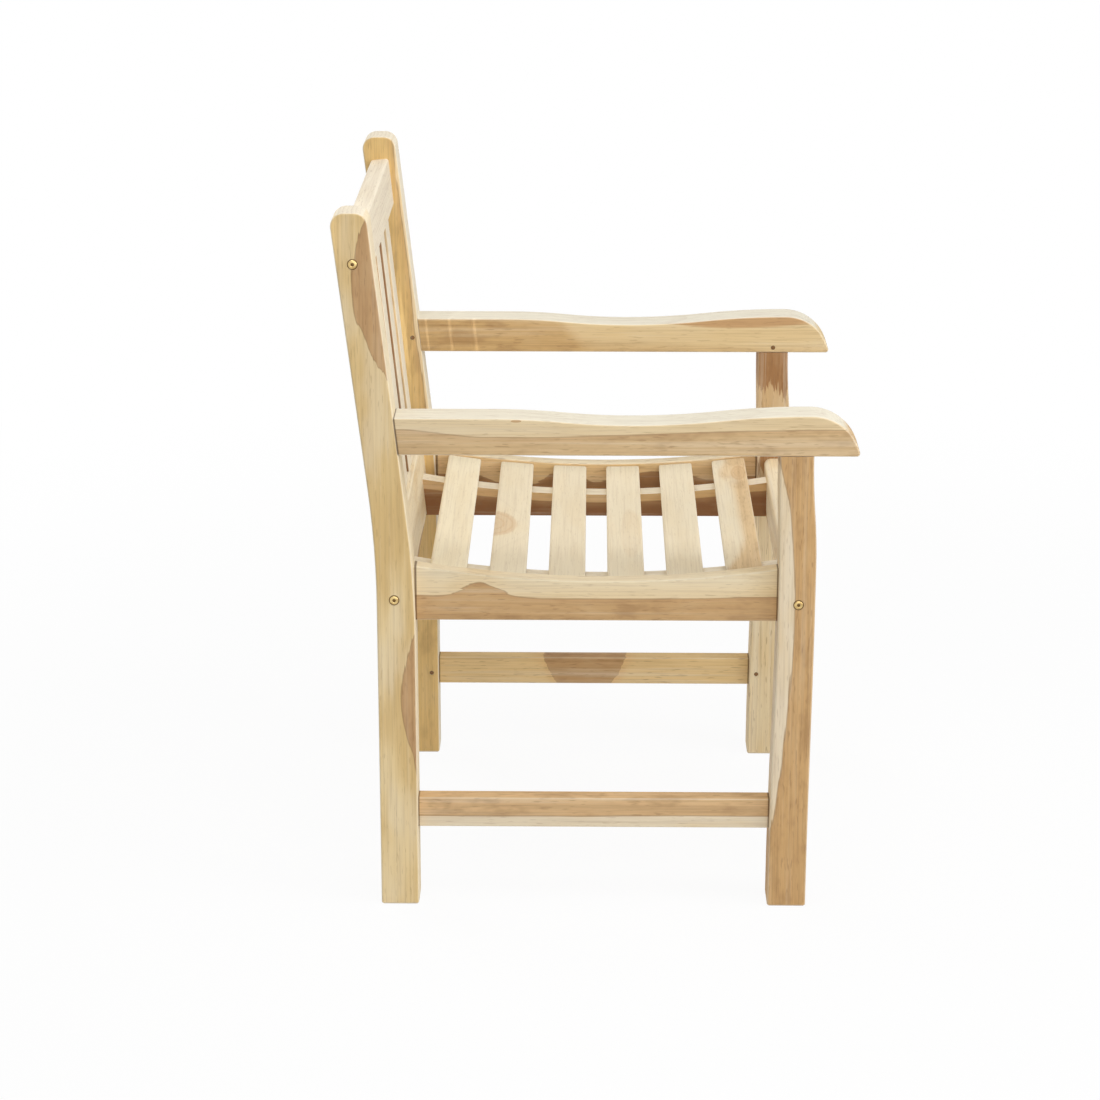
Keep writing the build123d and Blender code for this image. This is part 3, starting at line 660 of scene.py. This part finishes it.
def set_in_place(name, tree, shape, material, places, sizes, replaced):
    """Puts the fastener at each (place, direction its head faces), as one plain mesh for the CAD node."""
    start = next(node for node in tree.nodes if node.type == "GROUP_INPUT")
    outwards = Wire.add(tree, "GeometryNodeInputNamedAttribute",
                        {"data_type": "FLOAT_VECTOR"}, {"Name": "outwards"})
    turn = Wire.add(tree, "FunctionNodeAlignRotationToVector", {"axis": "Z"}, {"Vector": outwards})
    points = Wire(tree, start.outputs["Geometry"])
    placed = Wire.add(tree, "GeometryNodeInstanceOnPoints", None,
                      {"Points": points, "Instance": shape, "Rotation": turn})
    whole = Wire.add(tree, "GeometryNodeRealizeInstances", None, {"Geometry": placed})
    whole = Wire.add(tree, "GeometryNodeSetMaterial", None, {"Geometry": whole, "Material": material})
    finish = tree.nodes.new("NodeGroupOutput")
    tree.links.new(whole.socket, finish.inputs["Geometry"])

    place_mesh = bpy.data.meshes.new(name + " places")
    place_mesh.from_pydata([place for place, _ in places], [], [])
    facing = place_mesh.attributes.new("outwards", "FLOAT_VECTOR", "POINT")
    for entry, (_, direction) in zip(facing.data, places):
        entry.vector = direction
    holder = bpy.data.objects.new(name + " places", place_mesh)
    bpy.context.scene.collection.objects.link(holder)
    modifier = holder.modifiers.new("fasteners", "NODES")
    modifier.node_group = tree
    for item in tree.interface.items_tree:
        if item.name in sizes:
            modifier[item.identifier] = sizes[item.name]
    ready = holder.evaluated_get(bpy.context.evaluated_depsgraph_get())
    mesh = bpy.data.meshes.new_from_object(ready)
    holder.modifiers.remove(modifier)
    bpy.data.objects.remove(holder)
    sharpest_smooth_angle = math.radians(32)
    mesh.polygons.foreach_set("use_smooth", [True] * len(mesh.polygons))
    mesh.set_sharp_from_angle(angle=sharpest_smooth_angle)
    piece = bpy.data.objects.new(name, mesh)
    bpy.context.scene.collection.objects.link(piece)
    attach(piece, "root")
    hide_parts(replaced)


peg_brown = paint(124, 90, 56)
peg_wood = teak("teak pegs", "X", (0.0, 0.5), all_heart,
                pale=tan_heartwood, sap=tan_heartwood, core=peg_brown, seed=40.0, rounded="Z")
finish_with(peg_wood, "locating_dowels")

peg_boxes = loose_boxes("joint_pegs")
peg_low, peg_high = peg_boxes[0]
peg_sizes = {
    "Peg length": peg_high.x - peg_low.x,
    "Peg radius": (peg_high.z - peg_low.z) / 2,
    "Eased end": 0.0005,
}
peg_tree, (peg_length, peg_radius, peg_ease) = fastener_tree("tenon pegs", *peg_sizes)
peg = turned(peg_tree, (
    (0.0 - peg_length, peg_radius - peg_ease * 2.0),
    (peg_ease * 2.0 - peg_length, peg_radius),
    (0.0 - peg_ease, peg_radius),
    (0.0 - peg_ease * 0.3, peg_radius - peg_ease * 0.3),
    (0.0, peg_radius - peg_ease),
), sides=28)
peg_places = sideways_places(peg_boxes, head_outwards=False)
set_in_place("tenon_pegs", peg_tree, peg, peg_wood, peg_places, peg_sizes, "joint_pegs")


# Bolts and nuts
# Brass-plated connector bolts with low domed heads and a hexagon socket, seated in the legs' outer faces.
# Each runs through the leg into a barrel nut in the end of the cross rail.

def plated(name, colour, worn, seed, seat=None):
    """Plated steel with fine turning marks and dull patches, and painted shade inwards of the seat, for
    the recess round the head and the socket.
    """
    material, tree, shader, place = new_surface(name)
    patches = place.noise((160.0, 160.0, 160.0), seed, 3.0)
    marks = place.noise((900.0, 2600.0, 2600.0), seed + 2.0, 2.0)
    tone = (patches.rise(0.42, 0.7) * 0.7).between(colour, worn)
    # Painted shade: everything deeper than the seat is darkened, for the shade in the recess round the
    # head and in the socket
    if seat is not None:
        outwards = abs(place.split()[0])
        tone = tone.tinted(joint_shadow, (1.0 - outwards.rise(seat - 0.0003, seat + 0.0003)) * 0.85)
    roughness = 0.18 + patches * 0.20 + marks * 0.06
    dress(tree, shader, tone, roughness, marks, strength=0.2, depth=0.0001)
    shader.inputs["Metallic"].default_value = 1.0
    return material


bright_brass = paint(224, 196, 136)
dull_brass = paint(166, 132, 78)
finish_with(plated("brass plated nuts", bright_brass, dull_brass, 50.0), "barrel_nuts")

bolt_boxes = loose_boxes("connector_bolts")
bolt_low, bolt_high = bolt_boxes[0]
bolt_sizes = {
    "Bolt length": bolt_high.x - bolt_low.x,
    "Head radius": (bolt_high.z - bolt_low.z) / 2,
    "Head thickness": 0.002,
    "Shank radius": 0.003,
    "Socket radius": 0.0024,
    "Socket depth": 0.003,
}
bolt_tree, bolt_inputs = fastener_tree("connector bolts", *bolt_sizes)
bolt_length, head_radius, head_thickness, shank_radius, socket_radius, socket_depth = bolt_inputs
bolt_point = 0.0012
bolt_pitch = 0.001
bolt_turns = 22
thread_end = bolt_point + bolt_pitch * bolt_turns
thread_runout = 0.0008
thread_core = shank_radius * 0.86
bolt = turned(bolt_tree, (
    (0.0 - bolt_length, shank_radius * 0.7),
    (bolt_point - bolt_length, thread_core),
    (thread_end - bolt_length, thread_core),
    (thread_end + thread_runout - bolt_length, shank_radius),
    (0.0 - head_thickness, shank_radius),
    (head_thickness * -0.97, head_radius * 0.97),
    (head_thickness * -0.90, head_radius),
    (head_thickness * -0.80, head_radius),
    (head_thickness * -0.76, head_radius * 0.84),
    (head_thickness * -0.42, head_radius * 0.82),
    (head_thickness * -0.20, head_radius * 0.74),
    (head_thickness * -0.05, head_radius * 0.62),
    (head_thickness * 0.0, head_radius * 0.48),
), sides=48)
lead_in = turned(bolt_tree, ((-0.0009, 0.0005), (0.0001, socket_radius * 1.28)), sides=36)
hexagon = turned(bolt_tree, ((0.0, socket_radius), (0.006, socket_radius)), sides=6)
socket = raised(bolt_tree, hexagon, 0.0 - socket_depth)
bolt = cut(bolt_tree, cut(bolt_tree, bolt, lead_in), socket)
bolt_thread = threads(bolt_tree, bolt_point - bolt_length, bolt_pitch, bolt_turns,
                      thread_core, shank_radius)
bolt = Wire.add(bolt_tree, "GeometryNodeJoinGeometry", None, {"Geometry": [bolt, bolt_thread]})
# Deeper than this below the head's top, the bolt is painted in shade
bright_depth = 0.0013
head_shade_start = max(abs(bolt_low.x), abs(bolt_high.x)) - bright_depth
bolt_brass = plated("brass plated bolts", bright_brass, dull_brass, 52.0, head_shade_start)
bolt_places = sideways_places(bolt_boxes, head_outwards=True)
set_in_place("socket_bolts", bolt_tree, bolt, bolt_brass, bolt_places, bolt_sizes,
             "connector_bolts")


# Slat screws
# Zinc-plated pan-head screws with a cross recess, two to a seat slat.
# They are driven up through deep pockets in the bearers, so they show only from below.

zinc = plated("zinc plating", paint(205, 205, 200), paint(150, 150, 146), 51.0)
screw_boxes = loose_boxes("slat_screws")
screw_places = []
for low, high in screw_boxes:
    middle = (low + high) / 2
    screw_places.append(((middle.x, middle.y, low.z), (0.0, 0.0, -1.0)))
screw_low, screw_high = screw_boxes[0]
screw_sizes = {
    "Screw length": screw_high.z - screw_low.z,
    "Head radius": (screw_high.x - screw_low.x) / 2,
    "Head thickness": 0.003,
    "Shank radius": 0.002,
}
screw_tree, screw_inputs = fastener_tree("slat screws", *screw_sizes)
screw_length, pan_radius, pan_thickness, screw_radius = screw_inputs
screw_point = 0.003
screw_pitch = 0.0018
screw_turns = 9
core_end = 0.0208
shank_start = 0.0214
screw_core = screw_radius * 0.7
screw = turned(screw_tree, (
    (0.0 - screw_length, 0.0001),
    (screw_point - screw_length, screw_core),
    (core_end - screw_length, screw_core),
    (shank_start - screw_length, screw_radius * 0.9),
    (0.0 - pan_thickness, screw_radius * 0.9),
    (pan_thickness * -0.98, pan_radius),
    (pan_thickness * -0.5, pan_radius),
    (pan_thickness * -0.2, pan_radius * 0.86),
    (pan_thickness * 0.0, pan_radius * 0.5),
), sides=32)
blade_size = (0.0042, 0.0009, 0.0032)
for turn in (0.0, math.pi / 2):
    blade = Wire.add(screw_tree, "GeometryNodeMeshCube", None, {"Size": blade_size})
    screw = cut(screw_tree, screw, rotated(screw_tree, blade, (0.0, 0.0, turn)))
screw_thread = threads(screw_tree, screw_point - screw_length, screw_pitch, screw_turns,
                       screw_core, screw_radius)
screw = Wire.add(screw_tree, "GeometryNodeJoinGeometry", None, {"Geometry": [screw, screw_thread]})
set_in_place("pan_screws", screw_tree, screw, zinc, screw_places, screw_sizes, "slat_screws")


# Floor and light
# A plain white floor that keeps the soft shadow, in a white surround, between four large soft boxes.
# One small lamp stands behind on the right, and shines between the back slats onto the left arm.

half_floor = 6.0
floor_corners = [
    (-half_floor, -half_floor, 0),
    (half_floor, -half_floor, 0),
    (half_floor, half_floor, 0),
    (-half_floor, half_floor, 0),
]
floor_mesh = bpy.data.meshes.new("floor")
floor_mesh.from_pydata(floor_corners, [], [(0, 1, 2, 3)])
floor = bpy.data.objects.new("floor", floor_mesh)
bpy.context.scene.collection.objects.link(floor)


def seen_directly(tree):
    """1 for what the camera sees, straight or in a mirror or glass, and 0 for light on the object."""
    rays = Wire.add(tree, "ShaderNodeLightPath", output="Is Camera Ray")
    return rays.larger(rays.also("Is Glossy Ray")).larger(rays.also("Is Transmission Ray"))


floor_paint, floor_tree, floor_shader, floor_place = new_surface("white floor")
floor_shader.inputs["Base Color"].default_value = (0.86, 0.86, 0.86, 1.0)
floor_shader.inputs["Roughness"].default_value = 0.9
floor_shader.inputs["Specular IOR Level"].default_value = 0.0
across, back, _ = floor_place.split()
distance = (across * across + back * back).root()
whiteness = 0.93 + distance.rise(0.7, 2.4) * 0.07
glow = Wire.add(floor_tree, "ShaderNodeEmission", None, {"Color": (1, 1, 1, 1), "Strength": 1.0})
blend = Wire.add(floor_tree, "ShaderNodeMixShader", None, {
    0: seen_directly(floor_tree) * whiteness,
    1: Wire(floor_tree, floor_shader.outputs[0]),
    2: glow,
})
floor_tree.links.new(blend.socket, floor_tree.nodes["Material Output"].inputs["Surface"])
floor_mesh.materials.append(floor_paint)

world = bpy.data.worlds.new("studio")
bpy.context.scene.world = world
world.use_nodes = True
world_tree = world.node_tree
ambient_level = 0.24
direct = seen_directly(world_tree)
background = world_tree.nodes["Background"]
background.inputs["Color"].default_value = (1, 1, 1, 1)
level = ambient_level + direct * (1.0 - ambient_level)
world_tree.links.new(level.socket, background.inputs["Strength"])


def hang(light, place, aim):
    """Puts a light in its place and turns it to what it lights."""
    holder = bpy.data.objects.new(light.name, light)
    holder.location = place
    holder.rotation_euler = (Vector(aim) - Vector(place)).to_track_quat("-Z", "Y").to_euler()
    bpy.context.scene.collection.objects.link(holder)


def soft_box(name, place, aim, size, power):
    """A square soft box, its size in metres and its power in watts."""
    light = bpy.data.lights.new(name, "AREA")
    light.size = size
    light.energy = power
    hang(light, place, aim)


seat_middle = (0.0, 0.0, 0.5)
soft_box("overhead soft box", (-0.5, 0.0, 3.0), seat_middle, size=2.4, power=45.0)
soft_box("camera side soft box", (-3.0, -0.6, 1.5), (0.0, 0.0, 0.4), size=1.8, power=21.0)
soft_box("front soft box", (-1.2, -3.0, 1.7), seat_middle, size=1.8, power=50.0)
soft_box("rear soft box", (2.2, 2.6, 1.5), seat_middle, size=1.8, power=34.0)

slat_lamp = bpy.data.lights.new("lamp behind the slats", "SPOT")
slat_lamp.energy = 200.0
slat_lamp.spot_size = math.radians(2.9)
slat_lamp.spot_blend = 0.3
slat_lamp.shadow_soft_size = 0.012
left_arm_stripes = (0.247, 0.185, 0.62)
hang(slat_lamp, (-3.16, 1.56, 2.29), left_arm_stripes)


# Camera
# Held without roll on the chair's right-hand side, and looking slightly down on it.
# Its place, turn and lens were fitted to the photograph.

photo_pixels = 1100
focal_pixels = 3076.0
yaw = math.radians(0.809)
pitch = math.radians(17.251)
camera = bpy.data.cameras.new("camera")
camera.sensor_width = 36.0
camera.lens = camera.sensor_width * focal_pixels / photo_pixels
viewer = bpy.data.objects.new("camera", camera)
viewer.location = (-3.9382, 0.0065, 1.6085)
look = Vector((math.cos(yaw) * math.cos(pitch), math.sin(yaw) * math.cos(pitch), -math.sin(pitch)))
viewer.rotation_euler = look.to_track_quat("-Z", "Y").to_euler()
bpy.context.scene.collection.objects.link(viewer)
bpy.context.scene.camera = viewer
